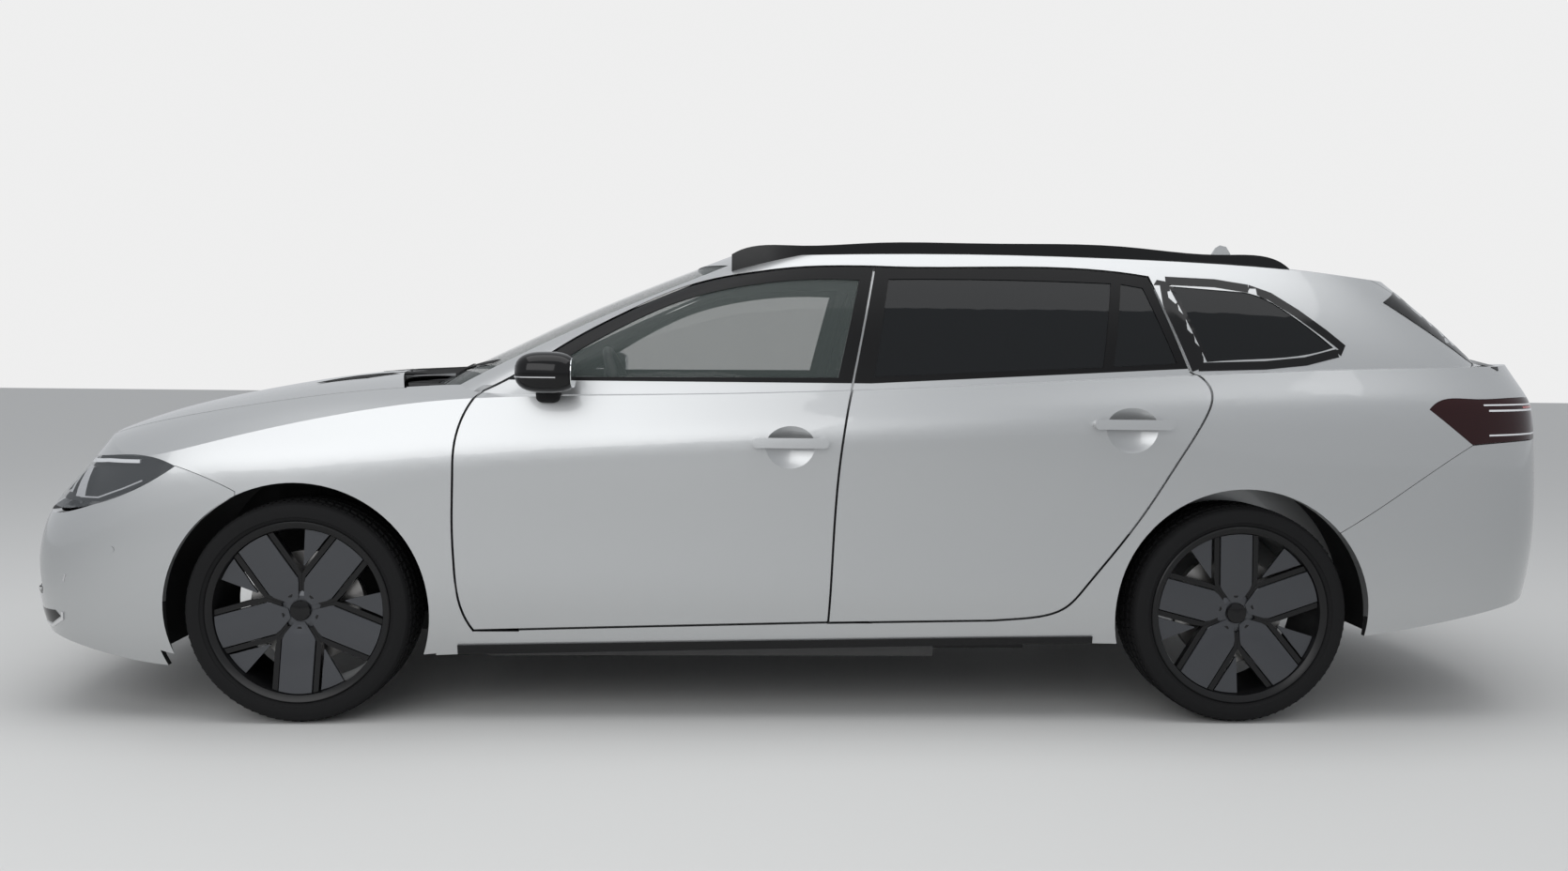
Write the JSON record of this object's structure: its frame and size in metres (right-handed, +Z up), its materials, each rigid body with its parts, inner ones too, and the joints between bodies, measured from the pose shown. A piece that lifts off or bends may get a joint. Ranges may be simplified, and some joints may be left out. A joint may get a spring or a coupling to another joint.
{
  "type": "station wagon",
  "caption": "Five-door station wagon with hollow cabin and load space, opening doors, bonnet and tailgate, steered front wheels and free-rolling wheels.",
  "frame": {"origin": "on the ground, under the middle of the car's length and width", "axes": "nose towards -X, left side towards -Y, +Z up"},
  "size_m": [4.9146, 2.0906, 1.5311],
  "materials": {
    "body_paint": "metallic silver clearcoat",
    "clear_glass": "clear tinted glass",
    "privacy_glass": "dark privacy glass",
    "lamp_red": "smoked red lens",
    "lamp_clear": "clear lens",
    "tyre": "matt black rubber",
    "wheel_alloy": "gloss black and gunmetal",
    "iron": "cast, dark",
    "underbody": "moulded undertray",
    "black_plastic": "grained black",
    "gloss_black": "piano black",
    "cabin_plastic": "soft-touch dark",
    "cabin_leather": "dark leather",
    "seat_fabric": "dark fabric",
    "body_underside": "sealed underside and dark carpet"
  },
  "bodies": {
    "body": {"arch_liners": "black_plastic", "cowl": "black_plastic", "dashboard": "cabin_plastic", "engine_block": "iron", "fixed_glass": "clear_glass", "floor_pan": "body_underside", "front_bumper": "body_paint", "front_fenders": "body_paint", "grille": "gloss_black", "headlamps": "lamp_clear", "rear_bumper": "body_paint", "roof_panel": "body_paint", "roof_rails": "gloss_black", "seats": "seat_fabric", "side_frame_left": "body_paint", "side_frame_right": "body_paint", "sill_trims": "gloss_black", "suspension": "iron", "tail_lamps": "lamp_red", "underbody": "underbody"},
    "knuckle_left": {"knuckle_front_left": "iron"},
    "knuckle_right": {"knuckle_front_right": "iron"},
    "steering_wheel": {"steering_wheel": "cabin_leather"},
    "bonnet": {"bonnet": "body_paint"},
    "tailgate": {"tailgate": "body_paint", "tailgate_lamps": "lamp_red", "tailgate_glass": "privacy_glass"},
    "wheel_front_left": {"tyre_front_left": "tyre", "wheel_front_left": "wheel_alloy"},
    "door_front_left": {"door_front_left": "body_paint", "door_glass_front_left": "clear_glass", "mirror_left": "gloss_black"},
    "wheel_front_right": {"tyre_front_right": "tyre", "wheel_front_right": "wheel_alloy"},
    "door_front_right": {"door_front_right": "body_paint", "door_glass_front_right": "clear_glass", "mirror_right": "gloss_black"},
    "wheel_rear_left": {"tyre_rear_left": "tyre", "wheel_rear_left": "wheel_alloy"},
    "door_rear_left": {"door_rear_left": "body_paint", "door_glass_rear_left": "privacy_glass"},
    "wheel_rear_right": {"tyre_rear_right": "tyre", "wheel_rear_right": "wheel_alloy"},
    "door_rear_right": {"door_rear_right": "body_paint", "door_glass_rear_right": "privacy_glass"}
  },
  "joints": [
    {"name": "steer_left", "type": "hinge", "parent": "body", "child": "knuckle_left", "pos_m": [-1.5385, -0.7005, 0.336], "axis": [0, 0, 1], "range_deg": [-33, 33]},
    {"name": "steer_right", "type": "hinge", "parent": "body", "child": "knuckle_right", "pos_m": [-1.5385, 0.7005, 0.336], "axis": [0, 0, 1], "range_deg": [-33, 33]},
    {"name": "steering_wheel_turn", "type": "hinge", "parent": "body", "child": "steering_wheel", "pos_m": [-0.60302, -0.37, 0.95196], "axis": [0.9243, 0, 0.3818], "range_deg": [-470, 470]},
    {"name": "bonnet_hinge", "type": "hinge", "parent": "body", "child": "bonnet", "pos_m": [-1.23735, 0, 1.005], "axis": [0, 1, 0], "range_deg": [0, 55]},
    {"name": "tailgate_hinge", "type": "hinge", "parent": "body", "child": "tailgate", "pos_m": [1.59928, 0, 1.44], "axis": [0, -1, 0], "range_deg": [0, 78]},
    {"name": "wheel_front_left_spin", "type": "hinge", "parent": "knuckle_left", "child": "wheel_front_left", "pos_m": [-1.5385, -0.7925, 0.336], "axis": [0, 1, 0], "continuous": true},
    {"name": "wheel_rear_left_spin", "type": "hinge", "parent": "body", "child": "wheel_rear_left", "pos_m": [1.3025, -0.7865, 0.336], "axis": [0, 1, 0], "continuous": true},
    {"name": "door_front_left_hinge", "type": "hinge", "parent": "body", "child": "door_front_left", "pos_m": [-0.99303, -0.905, 0.6], "axis": [0, 0, -1], "range_deg": [0, 65]},
    {"name": "door_rear_left_hinge", "type": "hinge", "parent": "body", "child": "door_rear_left", "pos_m": [0.1036, -0.905, 0.6], "axis": [0, 0, -1], "range_deg": [0, 68]},
    {"name": "wheel_front_right_spin", "type": "hinge", "parent": "knuckle_right", "child": "wheel_front_right", "pos_m": [-1.5385, 0.7925, 0.336], "axis": [0, 1, 0], "continuous": true},
    {"name": "wheel_rear_right_spin", "type": "hinge", "parent": "body", "child": "wheel_rear_right", "pos_m": [1.3025, 0.7865, 0.336], "axis": [0, 1, 0], "continuous": true},
    {"name": "door_front_right_hinge", "type": "hinge", "parent": "body", "child": "door_front_right", "pos_m": [-0.99303, 0.905, 0.6], "axis": [0, 0, 1], "range_deg": [0, 65]},
    {"name": "door_rear_right_hinge", "type": "hinge", "parent": "body", "child": "door_rear_right", "pos_m": [0.1036, 0.905, 0.6], "axis": [0, 0, 1], "range_deg": [0, 68]}
  ],
  "couplings": [
    {"joint": "steer_right", "follows": "steer_left", "ratio": 1},
    {"joint": "steering_wheel_turn", "follows": "steer_left", "ratio": 14}
  ]
}
